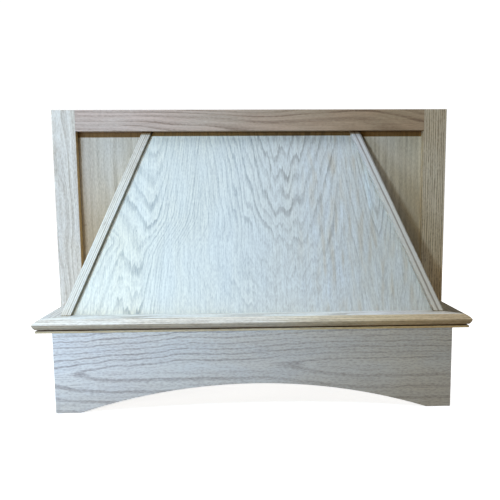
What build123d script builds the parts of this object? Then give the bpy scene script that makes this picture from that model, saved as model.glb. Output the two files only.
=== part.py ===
from build123d import *
import math
import os

# Wooden range hood cover for a 30 in. (762 mm) range, unfinished oak.
#
# A face frame (two stiles and a top rail) fronts a cabinet box that is as deep
# as the wall cabinets beside it. In front of the frame a mitred valance box
# with an arched lower edge carries a moulded cap, and a canopy stands on the
# cap: a flat front panel that leans back to the top rail, tapering from the
# width of the cap to a little over half of it, with cheeks behind its slanted
# edges and battens in front of them. Two infill panels close the frame beside
# the canopy. The box is open below and behind, for the liner, the blower and
# the duct.
#
# Millimetres. +X to the right as seen from the front, +Y towards the wall,
# +Z up. The origin is at the middle of the base: half the width, half the
# depth, and the level of the valance's feet.

os.makedirs("parts", exist_ok=True)

# ---------------------------------------------------------------- dimensions
width = 762.0            # 30 in. range hood width
height = 546.1           # 21 1/2 in.
cabinet_depth = 304.8    # 12 in., face frame front to wall
hood_depth = 457.2       # 18 in., valance front to wall
cap_overhang = 27.0      # cap nose beyond the valance, front and sides

stock = 19.05            # 3/4 in. solid stock
ply = 12.7               # 1/2 in. plywood
thin_ply = 6.35          # 1/4 in. plywood
housing = 6.35           # depth of the housings in the side panels

stile_w = 44.0
rail_h = 40.0

half_w = width / 2
y_wall = (hood_depth + cap_overhang) / 2
y_frame = y_wall - cabinet_depth          # front of the face frame
y_inside = y_frame + stock                # back of the face frame
y_valance = y_wall - hood_depth           # front of the valance
y_nose = y_valance - cap_overhang         # nose of the cap
rail_z = height - rail_h                  # underside of the top rail
stile_x = half_w - stile_w                # inner edge of a stile
side_x = half_w - ply                     # inner face of a side panel
top_z = height - ply                      # underside of the top panel

# valance box and its cap
cap_z0 = 149.4                            # top of the valance, underside of the cap
cap_z1 = 172.8                            # top of the cap
cap_w = 76.0                              # width of the cap stock
return_x = half_w - cap_overhang          # outer face of a valance return
return_in = return_x - stock
arch_x = 309.4                            # half span of the arch, inner edge of a foot
arch_rise = 48.3
cleat = 38.1                              # cleat height, 1 1/2 in.
seat_z = cap_z0 - cleat                   # level that the liner's flange screws up to

# canopy
lean = 24.0                               # front panel, degrees back from upright
edge_base = 340.5                         # half width of the panel at the cap
edge_top = 209.7                          # half width of the panel at the rail
batten_w = 16.5
batten_t = 9.5

# hanging rails and duct
hang_h = 76.2
upper_z = top_z - hang_h
stud_x = 203.2                            # half of 16 in. stud spacing
wall_hole_r = 2.6
duct_r = 107.95                           # clears 8 in. round duct
duct_y = y_wall - 152.4

# fasteners
dowel_r, dowel_len = 4.0, 38.0
shank_r, shank_hole_r = 2.1, 2.2
head_r, head_h = 4.2, 2.7
sink_angle = math.degrees(math.atan((head_r - shank_r) / head_h))

ease = 0.8                                # sanded arris

tan_lean = math.tan(math.radians(lean))
cos_lean = math.cos(math.radians(lean))
sin_lean = math.sin(math.radians(lean))
edge_slope = (edge_top - edge_base) / (rail_z - cap_z1)


def face_y(z):
    """Y of the front panel's face at a height."""
    return y_inside - (rail_z - z) * tan_lean


def back_y(z):
    """Y of the front panel's back at a height."""
    return face_y(z) + thin_ply / cos_lean


def edge_x(z):
    """Half width of the front panel at a height."""
    return edge_base + (z - cap_z1) * edge_slope


cheek_w = ply / math.cos(math.atan(-edge_slope))   # cheek thickness along X
cheek_back = y_inside + stock                      # back edge of a cheek

# plane of the front panel's face: X across, Y up the slope, Z outwards
slope_plane = Plane(
    origin=(0, face_y(cap_z1), cap_z1), x_dir=(1, 0, 0), z_dir=(0, -cos_lean, sin_lean)
)
slope_len = (rail_z - cap_z1) / cos_lean
slope_angle = math.atan((edge_base - edge_top) / slope_len)

mitre_right = Plane(origin=(half_w, y_nose, 0), z_dir=(1, 1, 0))
mitre_left = Plane(origin=(-half_w, y_nose, 0), z_dir=(-1, 1, 0))


def save(piece, name):
    piece.part.label = name
    export_step(piece.part, "parts/" + name + ".step")


# ---------------------------------------------------------------- face frame
dowel_z = (rail_z + 10.5, height - 10.5)
dowel_y = y_frame + stock / 2
return_screw_z = (25.0, 75.0, 125.0)
return_screw_x = (return_x + return_in) / 2

with BuildPart() as right_stile:
    with BuildSketch(Plane.XY):
        with Locations((half_w - stile_w / 2, y_frame + stock / 2)):
            Rectangle(stile_w, stock)
    extrude(amount=height)
    fillet(
        right_stile.edges().filter_by(Axis.Z).group_by(Axis.Y)[0].sort_by(Axis.X)[-1],
        radius=ease,
    )
    # dowel holes towards the top rail
    with BuildSketch(Plane.YZ.offset(stile_x)):
        with Locations(*[(dowel_y, z) for z in dowel_z]):
            Circle(dowel_r + 0.05)
    extrude(amount=dowel_len / 2 + 0.5, mode=Mode.SUBTRACT)
    # clearance holes for the screws into the valance return, countersunk behind
    with BuildSketch(Plane.XZ.offset(-y_inside)):
        with Locations(*[(return_screw_x, z) for z in return_screw_z]):
            Circle(shank_hole_r)
    extrude(amount=stock, mode=Mode.SUBTRACT)
    with BuildSketch(Plane.XZ.offset(-y_inside)):
        with Locations(*[(return_screw_x, z) for z in return_screw_z]):
            Circle(head_r + 0.2)
    extrude(amount=2.82, taper=sink_angle, mode=Mode.SUBTRACT)

with BuildPart() as left_stile:
    mirror(right_stile.part, about=Plane.YZ)

with BuildPart() as top_rail:
    with BuildSketch(Plane.YZ.offset(-stile_x)):
        with Locations((y_frame + stock / 2, height - rail_h / 2)):
            Rectangle(stock, rail_h)
    extrude(amount=2 * stile_x)
    fillet(
        top_rail.edges().filter_by(Axis.X).group_by(Axis.Z)[0].sort_by(Axis.Y)[0],
        radius=0.5,
    )
    for end in (-stile_x, stile_x - dowel_len / 2 - 0.5):
        with BuildSketch(Plane.YZ.offset(end)):
            with Locations(*[(dowel_y, z) for z in dowel_z]):
                Circle(dowel_r + 0.05)
        extrude(amount=dowel_len / 2 + 0.5, mode=Mode.SUBTRACT)

with BuildPart() as frame_dowels:
    for middle in (-stile_x, stile_x):
        with BuildSketch(Plane.YZ.offset(middle - dowel_len / 2)):
            with Locations(*[(dowel_y, z) for z in dowel_z]):
                Circle(dowel_r)
        extrude(amount=dowel_len)
    chamfer(frame_dowels.edges().filter_by(GeomType.CIRCLE), length=1.0)

# ---------------------------------------------------------------- cabinet box
ledger_y0, ledger_y1 = y_inside, y_wall - stock
ledger_screw_y = (y_inside + 35.0, (ledger_y0 + ledger_y1) / 2, ledger_y1 - 35.0)
ledger_screw_z = seat_z + cleat / 2

with BuildPart() as right_side_panel:
    with BuildSketch(Plane.XY):
        with Locations(((half_w + side_x) / 2, (y_inside + y_wall) / 2)):
            Rectangle(ply, y_wall - y_inside)
    extrude(amount=height)
    # rabbet for the top panel
    with BuildSketch(Plane.XY.offset(top_z)):
        with Locations((side_x + housing / 2, (y_inside + y_wall) / 2)):
            Rectangle(housing, y_wall - y_inside)
    extrude(amount=ply, mode=Mode.SUBTRACT)
    # housings for the two hanging rails, open at the back
    for low in (seat_z, upper_z):
        with BuildSketch(Plane.XY.offset(low)):
            with Locations((side_x + housing / 2, y_wall - stock / 2)):
                Rectangle(housing, stock)
        extrude(amount=hang_h, mode=Mode.SUBTRACT)
    # pilot holes for the ledger screws
    with BuildSketch(Plane.YZ.offset(side_x)):
        with Locations(*[(y, ledger_screw_z) for y in ledger_screw_y]):
            Circle(shank_hole_r)
    extrude(amount=10.0, mode=Mode.SUBTRACT)

with BuildPart() as left_side_panel:
    mirror(right_side_panel.part, about=Plane.YZ)

with BuildPart() as top_panel:
    with BuildSketch(Plane.XY.offset(top_z)):
        with Locations((0, (y_inside + y_wall) / 2)):
            Rectangle(2 * (side_x + housing), y_wall - y_inside)
        with Locations((0, duct_y)):
            Circle(duct_r, mode=Mode.SUBTRACT)
    extrude(amount=ply)

with BuildPart() as upper_hanging_rail:
    with BuildSketch(Plane.XZ.offset(-y_wall)):
        with Locations((0, upper_z + hang_h / 2)):
            Rectangle(2 * (side_x + housing), hang_h)
        with Locations((-stud_x, upper_z + hang_h / 2), (stud_x, upper_z + hang_h / 2)):
            Circle(wall_hole_r, mode=Mode.SUBTRACT)
    extrude(amount=stock)

with BuildPart() as lower_hanging_rail:
    with BuildSketch(Plane.XZ.offset(-y_wall)):
        with Locations((0, seat_z + hang_h / 2)):
            Rectangle(2 * (side_x + housing), hang_h)
        with Locations((-stud_x, seat_z + hang_h / 2), (stud_x, seat_z + hang_h / 2)):
            Circle(wall_hole_r, mode=Mode.SUBTRACT)
    extrude(amount=stock)

with BuildPart() as right_liner_ledger:
    with BuildSketch(Plane.XY.offset(seat_z)):
        with Locations((side_x - stock / 2, (ledger_y0 + ledger_y1) / 2)):
            Rectangle(stock, ledger_y1 - ledger_y0)
    extrude(amount=cleat)
    with BuildSketch(Plane.YZ.offset(side_x - stock)):
        with Locations(*[(y, ledger_screw_z) for y in ledger_screw_y]):
            Circle(shank_hole_r)
    extrude(amount=stock, mode=Mode.SUBTRACT)
    with BuildSketch(Plane.YZ.offset(side_x - stock)):
        with Locations(*[(y, ledger_screw_z) for y in ledger_screw_y]):
            Circle(head_r + 0.2)
    extrude(amount=2.82, taper=sink_angle, mode=Mode.SUBTRACT)

with BuildPart() as left_liner_ledger:
    mirror(right_liner_ledger.part, about=Plane.YZ)

# ------------------------------------------------- infill beside the canopy
infill_z0, infill_z1 = cap_z1, rail_z + 12.7
infill_x = stile_x + 12.7

with BuildPart() as right_infill_panel:
    with BuildSketch(Plane.XZ.offset(-(y_inside + thin_ply))):
        with BuildLine():
            Polyline(
                (edge_x(infill_z0) + 0.1, infill_z0),
                (infill_x, infill_z0),
                (infill_x, infill_z1),
                (edge_x(infill_z1) + 0.1, infill_z1),
                close=True,
            )
        make_face()
    extrude(amount=thin_ply)

with BuildPart() as left_infill_panel:
    mirror(right_infill_panel.part, about=Plane.YZ)

# strips glued into the corner between an infill panel's back and a cheek
strip_z0, strip_z1 = 206.0, 500.0
strip_w = 19.0 / math.cos(math.atan(-edge_slope))

with BuildPart() as right_infill_cleat:
    with BuildSketch(Plane.XZ.offset(-cheek_back)):
        with BuildLine():
            Polyline(
                (edge_x(strip_z0) + 0.1, strip_z0),
                (edge_x(strip_z0) + strip_w, strip_z0),
                (edge_x(strip_z1) + strip_w, strip_z1),
                (edge_x(strip_z1) + 0.1, strip_z1),
                close=True,
            )
        make_face()
    extrude(amount=cheek_back - y_inside - thin_ply)

with BuildPart() as left_infill_cleat:
    mirror(right_infill_cleat.part, about=Plane.YZ)

# ---------------------------------------------------------------- valance box
with BuildPart() as arched_valance:
    with BuildSketch(Plane.XZ.offset(-(y_valance + stock))):
        with BuildLine():
            Polyline(
                (-arch_x, 0),
                (-return_x, 0),
                (-return_x, cap_z0),
                (return_x, cap_z0),
                (return_x, 0),
                (arch_x, 0),
            )
            ThreePointArc((arch_x, 0), (0, arch_rise), (-arch_x, 0))
        make_face()
    extrude(amount=stock)
    # sanded lower front arris of the arch
    fillet(
        arched_valance.edges().filter_by(GeomType.CIRCLE).sort_by(Axis.Y)[0],
        radius=ease,
    )
    # mitres towards the returns
    split(bisect_by=Plane(origin=(return_x, y_valance, 0), z_dir=(1, 1, 0)), keep=Keep.BOTTOM)
    split(bisect_by=Plane(origin=(-return_x, y_valance, 0), z_dir=(-1, 1, 0)), keep=Keep.BOTTOM)

with BuildPart() as right_valance_return:
    with BuildSketch(Plane.XY):
        with Locations(((return_x + return_in) / 2, (y_valance + y_frame) / 2)):
            Rectangle(stock, y_frame - y_valance)
    extrude(amount=cap_z0)
    split(bisect_by=Plane(origin=(return_x, y_valance, 0), z_dir=(1, 1, 0)), keep=Keep.TOP)
    # pilot holes for the screws through the stile
    with BuildSketch(Plane.XZ.offset(-y_frame)):
        with Locations(*[(return_screw_x, z) for z in return_screw_z]):
            Circle(shank_hole_r)
    extrude(amount=32.5, mode=Mode.SUBTRACT)

with BuildPart() as left_valance_return:
    mirror(right_valance_return.part, about=Plane.YZ)

with BuildPart() as right_corner_block:
    with BuildSketch(Plane.XY.offset(6.0)):
        with BuildLine():
            Polyline(
                (return_in, y_valance + stock),
                (return_in, y_valance + stock + 25.4),
                (return_in - 25.4, y_valance + stock),
                close=True,
            )
        make_face()
    extrude(amount=seat_z - 10.0)

with BuildPart() as left_corner_block:
    mirror(right_corner_block.part, about=Plane.YZ)

# cleats under the cap, glued inside the valance, counterbored for the cap screws
front_cleat_y = y_valance + 1.5 * stock
side_cleat_x = return_in - stock / 2
side_cleat_y0 = y_valance + 2 * stock
front_screws = [(-240.0, front_cleat_y), (0.0, front_cleat_y), (240.0, front_cleat_y)]
side_screws = [(side_cleat_x, side_cleat_y0 + 26.0), (side_cleat_x, y_frame - 24.0)]

with BuildPart() as front_base_cleat:
    with BuildSketch(Plane.XY.offset(seat_z)):
        with Locations((0, front_cleat_y)):
            Rectangle(2 * return_in, stock)
    extrude(amount=cleat)
    with BuildSketch(Plane.XY.offset(seat_z)):
        with Locations(*front_screws):
            Circle(shank_hole_r)
    extrude(amount=cleat, mode=Mode.SUBTRACT)
    with BuildSketch(Plane.XY.offset(seat_z)):
        with Locations(*front_screws):
            Circle(5.0)
    extrude(amount=15.0, mode=Mode.SUBTRACT)

with BuildPart() as right_base_cleat:
    with BuildSketch(Plane.XY.offset(seat_z)):
        with Locations((side_cleat_x, (side_cleat_y0 + y_frame) / 2)):
            Rectangle(stock, y_frame - side_cleat_y0)
    extrude(amount=cleat)
    with BuildSketch(Plane.XY.offset(seat_z)):
        with Locations(*side_screws):
            Circle(shank_hole_r)
    extrude(amount=cleat, mode=Mode.SUBTRACT)
    with BuildSketch(Plane.XY.offset(seat_z)):
        with Locations(*side_screws):
            Circle(5.0)
    extrude(amount=15.0, mode=Mode.SUBTRACT)

with BuildPart() as left_base_cleat:
    mirror(right_base_cleat.part, about=Plane.YZ)


# ---------------------------------------------------------------- cap moulding
# Section, as (distance out from the valance's face, height): flat top, eased
# shoulder down to the nose, a face that turns in below it, a narrow quirk and a
# fillet at the bottom.
cap_section = [
    (cap_overhang - cap_w, cap_z1),
    (cap_overhang - 11.4, cap_z1),
    (cap_overhang, 164.5),
    (cap_overhang - 4.8, 155.5),
    (cap_overhang - 8.8, 155.5),
    (cap_overhang - 8.8, 153.0),
    (cap_overhang - 4.8, 153.0),
    (cap_overhang - 4.8, cap_z0),
    (cap_overhang - cap_w, cap_z0),
]
shoulder_mid = (cap_overhang - 4.9, 169.5)
under_mid = (cap_overhang - 1.6, 159.7)
spline_z = (cap_z0 + cap_z1) / 2 - 1.5      # biscuit level at the cap mitres
spline_centre = (half_w - cap_w / 2, y_nose + cap_w / 2)
cap_screw_top = seat_z + 15.0 + 38.0

with BuildPart() as front_cap:
    with BuildSketch(Plane.YZ):
        with BuildLine():
            pts = [(y_valance - u, z) for u, z in cap_section]
            Line(pts[0], pts[1])
            ThreePointArc(pts[1], (y_valance - shoulder_mid[0], shoulder_mid[1]), pts[2])
            ThreePointArc(pts[2], (y_valance - under_mid[0], under_mid[1]), pts[3])
            Polyline(*pts[3:], pts[0])
        make_face()
    extrude(amount=half_w, both=True)
    split(bisect_by=mitre_right, keep=Keep.BOTTOM)
    split(bisect_by=mitre_left, keep=Keep.BOTTOM)
    # biscuit slots
    for sign in (-1, 1):
        with BuildSketch(Plane.XY.offset(spline_z - 2.05)):
            with Locations(Location((sign * spline_centre[0], spline_centre[1], 0), (0, 0, -45 * sign))):
                SlotOverall(48.4, 17.0)
        extrude(amount=4.1, mode=Mode.SUBTRACT)
    # pilot holes for the cap screws
    with BuildSketch(Plane.XY.offset(cap_z0)):
        with Locations(*front_screws):
            Circle(shank_hole_r)
    extrude(amount=cap_screw_top + 0.5 - cap_z0, mode=Mode.SUBTRACT)

with BuildPart() as right_cap_return:
    with BuildSketch(Plane.XZ.offset(-y_frame)):
        with BuildLine():
            pts = [(return_x + u, z) for u, z in cap_section]
            Line(pts[0], pts[1])
            ThreePointArc(pts[1], (return_x + shoulder_mid[0], shoulder_mid[1]), pts[2])
            ThreePointArc(pts[2], (return_x + under_mid[0], under_mid[1]), pts[3])
            Polyline(*pts[3:], pts[0])
        make_face()
    extrude(amount=y_frame - y_nose)
    split(bisect_by=mitre_right, keep=Keep.TOP)
    with BuildSketch(Plane.XY.offset(spline_z - 2.05)):
        with Locations(Location((spline_centre[0], spline_centre[1], 0), (0, 0, -45))):
            SlotOverall(48.4, 17.0)
    extrude(amount=4.1, mode=Mode.SUBTRACT)
    with BuildSketch(Plane.XY.offset(cap_z0)):
        with Locations(*side_screws):
            Circle(shank_hole_r)
    extrude(amount=cap_screw_top + 0.5 - cap_z0, mode=Mode.SUBTRACT)

with BuildPart() as left_cap_return:
    mirror(right_cap_return.part, about=Plane.YZ)

with BuildPart() as cap_biscuits:
    for sign in (-1, 1):
        with BuildSketch(Plane.XY.offset(spline_z - 1.95)):
            with Locations(Location((sign * spline_centre[0], spline_centre[1], 0), (0, 0, -45 * sign))):
                SlotOverall(47.0, 15.6)
        extrude(amount=3.9)

# ---------------------------------------------------------------- canopy
# brads through each batten into the cheek behind it, as (distance up the slope)
brad_s = (24.0, 100.0, 178.0, 256.0, 334.0)
brad_in = 7.0
brad_r, brad_hole_r = 0.6, 0.68
brad_set = 0.9                              # heads sit below the batten's face
brad_len = 31.0


def brad_at(s):
    """X on the slope plane of a brad at a distance up the slope."""
    return edge_base - s * math.tan(slope_angle) - brad_in / math.cos(slope_angle)


brads = [(brad_at(s), s) for s in brad_s]
both_brads = brads + [(-x, s) for x, s in brads]

with BuildPart() as front_panel:
    # section from the side
    with BuildSketch(Plane.YZ):
        with BuildLine():
            Polyline(
                (face_y(cap_z1), cap_z1),
                (back_y(cap_z1), cap_z1),
                (back_y(top_z), top_z),
                (face_y(top_z), top_z),
                close=True,
            )
        make_face()
    extrude(amount=half_w, both=True)
    # outline from the front
    with BuildSketch(Plane.XZ.offset(-y_wall)):
        with BuildLine():
            Polyline(
                (-edge_x(cap_z1), cap_z1),
                (edge_x(cap_z1), cap_z1),
                (edge_x(top_z), top_z),
                (-edge_x(top_z), top_z),
                close=True,
            )
        make_face()
    extrude(amount=y_wall - y_nose, mode=Mode.INTERSECT)
    with BuildSketch(slope_plane.offset(-thin_ply - 5.0)):
        with Locations(*both_brads):
            Circle(brad_hole_r)
    extrude(amount=thin_ply + 10.0, mode=Mode.SUBTRACT)

cheek_top = 518.0

with BuildPart() as right_cheek:
    # board as seen from the front, leaning inwards with the panel's edge
    with BuildSketch(Plane.XZ.offset(-cheek_back)):
        with BuildLine():
            Polyline(
                (edge_x(cap_z1) - cheek_w, cap_z1),
                (edge_x(cap_z1), cap_z1),
                (edge_x(cheek_top), cheek_top),
                (edge_x(cheek_top) - cheek_w, cheek_top),
                close=True,
            )
        make_face()
    extrude(amount=cheek_back - y_nose)
    # outline from the side: a long triangle behind the leaning panel
    with BuildSketch(Plane.YZ):
        with BuildLine():
            Polyline(
                (back_y(cap_z1), cap_z1),
                (cheek_back, cap_z1),
                (cheek_back, cheek_top),
                (back_y(cheek_top), cheek_top),
                close=True,
            )
        make_face()
    extrude(amount=half_w, mode=Mode.INTERSECT)
    # scribed round the stile's inner edge
    with BuildSketch(Plane.XY.offset(cap_z1 - 1.0)):
        with Locations((stile_x + 9.9, y_frame + stock / 2)):
            Rectangle(20.0, stock + 0.2)
    extrude(amount=25.0, mode=Mode.SUBTRACT)
    with BuildSketch(slope_plane.offset(-thin_ply - 16.5)):
        with Locations(*brads):
            Circle(brad_hole_r)
    extrude(amount=22.0, mode=Mode.SUBTRACT)

with BuildPart() as left_cheek:
    mirror(right_cheek.part, about=Plane.YZ)

batten_dx = math.tan(slope_angle)
batten_w_x = batten_w / math.cos(slope_angle)

with BuildPart() as right_batten:
    with BuildSketch(slope_plane):
        with BuildLine():
            Polyline(
                (edge_base + 30 * batten_dx, -30),
                (edge_base + 30 * batten_dx - batten_w_x, -30),
                (edge_base - (slope_len + 30) * batten_dx - batten_w_x, slope_len + 30),
                (edge_base - (slope_len + 30) * batten_dx, slope_len + 30),
                close=True,
            )
        make_face()
    extrude(amount=batten_t)
    fillet(
        right_batten.edges().filter_by(
            Axis((0, 0, 0), (-math.sin(slope_angle), math.cos(slope_angle) * sin_lean, math.cos(slope_angle) * cos_lean))
        ).sort_by(Axis((0, 0, 0), (0, -cos_lean, sin_lean)))[-2:],
        radius=0.9,
    )
    # level feet on the cap, and a level top under the rail
    split(bisect_by=Plane.XY.offset(cap_z1), keep=Keep.TOP)
    split(bisect_by=Plane.XY.offset(rail_z), keep=Keep.BOTTOM)
    # brad holes that stop short of the face
    with BuildSketch(slope_plane.offset(-1.0)):
        with Locations(*brads):
            Circle(brad_hole_r)
    extrude(amount=1.0 + batten_t - brad_set + 0.2, mode=Mode.SUBTRACT)

with BuildPart() as left_batten:
    mirror(right_batten.part, about=Plane.YZ)

with BuildPart() as batten_brads:
    with BuildSketch(slope_plane.offset(batten_t - brad_set - brad_len)):
        with Locations(*both_brads):
            Circle(brad_r)
    extrude(amount=brad_len)

# wedge strip between the top rail's back and the front panel's face
wedge_z0 = rail_z + 3.0
with BuildPart() as canopy_top_cleat:
    with BuildSketch(Plane.YZ):
        with BuildLine():
            Polyline(
                (y_inside, wedge_z0),
                (face_y(wedge_z0), wedge_z0),
                (face_y(top_z), top_z),
                (y_inside, top_z),
                close=True,
            )
        make_face()
    extrude(amount=196.0, both=True)

# bevelled strip that holds the foot of the front panel on the cap
foot_z1 = cap_z1 + 19.0
foot_back = y_nose + cap_w
with BuildPart() as panel_foot_cleat:
    with BuildSketch(Plane.YZ):
        with BuildLine():
            Polyline(
                (back_y(cap_z1), cap_z1),
                (foot_back, cap_z1),
                (foot_back, foot_z1),
                (back_y(foot_z1), foot_z1),
                close=True,
            )
        make_face()
    extrude(amount=edge_x(foot_z1) - cheek_w - 1.0, both=True)

# bevelled strips inside the feet of the cheeks
with BuildPart() as right_cheek_cleat:
    with BuildSketch(Plane.XZ.offset(-y_frame)):
        with BuildLine():
            Polyline(
                (edge_x(cap_z1) - cheek_w - 16.0, cap_z1),
                (edge_x(cap_z1) - cheek_w, cap_z1),
                (edge_x(foot_z1) - cheek_w, foot_z1),
                (edge_x(cap_z1) - cheek_w - 16.0, foot_z1),
                close=True,
            )
        make_face()
    extrude(amount=y_frame - foot_back)

with BuildPart() as left_cheek_cleat:
    mirror(right_cheek_cleat.part, about=Plane.YZ)

# ---------------------------------------------------------------- fasteners
# flat-head wood screw, head up at the origin, shank down, square drive
with BuildPart() as flat_screw:
    with BuildSketch(Plane.XZ):
        with BuildLine():
            Polyline(
                (0, 0),
                (head_r, 0),
                (shank_r, -head_h),
                (shank_r, -45.8),
                (0.4, -50.8),
                (0, -50.8),
                close=True,
            )
        make_face()
    revolve(axis=Axis.Z)
    with BuildSketch(Plane.XY):
        Rectangle(2.6, 2.6)
    extrude(amount=-1.8, mode=Mode.SUBTRACT)

with BuildPart() as short_screw:
    with BuildSketch(Plane.XZ):
        with BuildLine():
            Polyline(
                (0, 0),
                (head_r, 0),
                (shank_r, -head_h),
                (shank_r, -24.6),
                (0.4, -28.6),
                (0, -28.6),
                close=True,
            )
        make_face()
    revolve(axis=Axis.Z)
    with BuildSketch(Plane.XY):
        Rectangle(2.6, 2.6)
    extrude(amount=-1.8, mode=Mode.SUBTRACT)

with BuildPart() as pan_screw:
    with BuildSketch(Plane.XZ):
        with BuildLine():
            Polyline(
                (0, 3.0),
                (3.4, 3.0),
                (4.5, 1.6),
                (4.5, 0),
                (shank_r, 0),
                (shank_r, -33.5),
                (0.4, -38.0),
                (0, -38.0),
                close=True,
            )
        make_face()
    revolve(axis=Axis.Z)
    with BuildSketch(Plane.XY.offset(3.0)):
        Rectangle(2.6, 2.6)
    extrude(amount=-2.0, mode=Mode.SUBTRACT)

# through the stiles into the ends of the valance returns
with BuildPart() as return_screws:
    for sign in (-1, 1):
        for z in return_screw_z:
            with Locations(Location((sign * return_screw_x, y_inside - 0.1, z), (-90, 0, 0))):
                add(flat_screw.part)

# through the ledgers into the side panels
with BuildPart() as ledger_screws:
    for sign in (-1, 1):
        for y in ledger_screw_y:
            with Locations(Location((sign * (side_x - stock + 0.1), y, ledger_screw_z), (0, -90 * sign, 0))):
                add(short_screw.part)

# up through the base cleats into the cap
with BuildPart() as cap_screws:
    for x, y in front_screws + side_screws + [(-x, y) for x, y in side_screws]:
        with Locations(Location((x, y, seat_z + 15.0), (180, 0, 0))):
            add(pan_screw.part)

# ---------------------------------------------------------------- write
save(left_stile, "left_stile")
save(right_stile, "right_stile")
save(top_rail, "top_rail")
save(frame_dowels, "frame_dowels")
save(left_side_panel, "left_side_panel")
save(right_side_panel, "right_side_panel")
save(top_panel, "top_panel")
save(upper_hanging_rail, "upper_hanging_rail")
save(lower_hanging_rail, "lower_hanging_rail")
save(left_liner_ledger, "left_liner_ledger")
save(right_liner_ledger, "right_liner_ledger")
save(left_infill_panel, "left_infill_panel")
save(right_infill_panel, "right_infill_panel")
save(left_infill_cleat, "left_infill_cleat")
save(right_infill_cleat, "right_infill_cleat")
save(arched_valance, "arched_valance")
save(left_valance_return, "left_valance_return")
save(right_valance_return, "right_valance_return")
save(left_corner_block, "left_corner_block")
save(right_corner_block, "right_corner_block")
save(front_base_cleat, "front_base_cleat")
save(left_base_cleat, "left_base_cleat")
save(right_base_cleat, "right_base_cleat")
save(front_cap, "front_cap")
save(left_cap_return, "left_cap_return")
save(right_cap_return, "right_cap_return")
save(cap_biscuits, "cap_biscuits")
save(front_panel, "front_panel")
save(left_cheek, "left_cheek")
save(right_cheek, "right_cheek")
save(left_batten, "left_batten")
save(right_batten, "right_batten")
save(batten_brads, "batten_brads")
save(canopy_top_cleat, "canopy_top_cleat")
save(panel_foot_cleat, "panel_foot_cleat")
save(left_cheek_cleat, "left_cheek_cleat")
save(right_cheek_cleat, "right_cheek_cleat")
save(return_screws, "return_screws")
save(ledger_screws, "ledger_screws")
save(cap_screws, "cap_screws")
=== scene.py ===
import bpy
import math
from mathutils import Matrix, Vector


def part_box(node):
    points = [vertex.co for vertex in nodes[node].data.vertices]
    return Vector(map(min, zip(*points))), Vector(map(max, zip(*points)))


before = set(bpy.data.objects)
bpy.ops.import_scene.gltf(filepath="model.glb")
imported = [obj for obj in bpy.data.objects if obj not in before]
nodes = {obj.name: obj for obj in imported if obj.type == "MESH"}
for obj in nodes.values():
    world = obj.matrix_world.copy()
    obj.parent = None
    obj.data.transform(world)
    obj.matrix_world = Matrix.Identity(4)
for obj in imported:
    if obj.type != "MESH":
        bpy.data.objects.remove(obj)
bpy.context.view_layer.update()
scene = bpy.context.scene
scene.view_settings.view_transform = "Standard"
scene.view_settings.look = "None"
scene.view_settings.exposure = 0.0
scene.view_settings.gamma = 1.0

# ---------------------------------------------------------------- camera
CAM_AT = (-0.0132970, -1.3226080, 0.3788820)
YAW, PITCH, ROLL = -0.0369798, 0.1280464, -0.0072388
FOCAL_PX, PP = 637.7137, (269.7342, 279.0507)      # in a 500 x 500 picture


def make_camera():
    cy, sy = math.cos(YAW), math.sin(YAW)
    cp, sp = math.cos(PITCH), math.sin(PITCH)
    cr, sr = math.cos(ROLL), math.sin(ROLL)
    turn = (
        Matrix(((cr, 0, sr), (0, 1, 0), (-sr, 0, cr)))
        @ Matrix(((1, 0, 0), (0, cp, -sp), (0, sp, cp)))
        @ Matrix(((cy, sy, 0), (-sy, cy, 0), (0, 0, 1)))
    )
    right, ahead, up = turn[0], turn[1], turn[2]
    place = Matrix([[right[i], up[i], -ahead[i]] for i in range(3)]).to_4x4()
    place.translation = Vector(CAM_AT)
    cam = bpy.data.cameras.new("camera")
    cam.sensor_width = 36
    cam.lens = FOCAL_PX * 36 / 500
    cam.shift_x = (250 - PP[0]) / 500
    cam.shift_y = (PP[1] - 250) / 500
    cam.clip_start = 0.01
    ob = bpy.data.objects.new("camera", cam)
    scene.collection.objects.link(ob)
    ob.matrix_world = place
    scene.camera = ob


make_camera()


# ---------------------------------------------------------------- node fields
class Field:
    """A number or colour in a material's nodes, with arithmetic."""

    def __init__(self, tree, socket):
        self.tree, self.socket = tree, socket

    def __add__(self, o): return self.tree.math("ADD", self, o)
    def __radd__(self, o): return self.tree.math("ADD", o, self)
    def __sub__(self, o): return self.tree.math("SUBTRACT", self, o)
    def __rsub__(self, o): return self.tree.math("SUBTRACT", o, self)
    def __mul__(self, o): return self.tree.math("MULTIPLY", self, o)
    def __rmul__(self, o): return self.tree.math("MULTIPLY", o, self)
    def __truediv__(self, o): return self.tree.math("DIVIDE", self, o)


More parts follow.
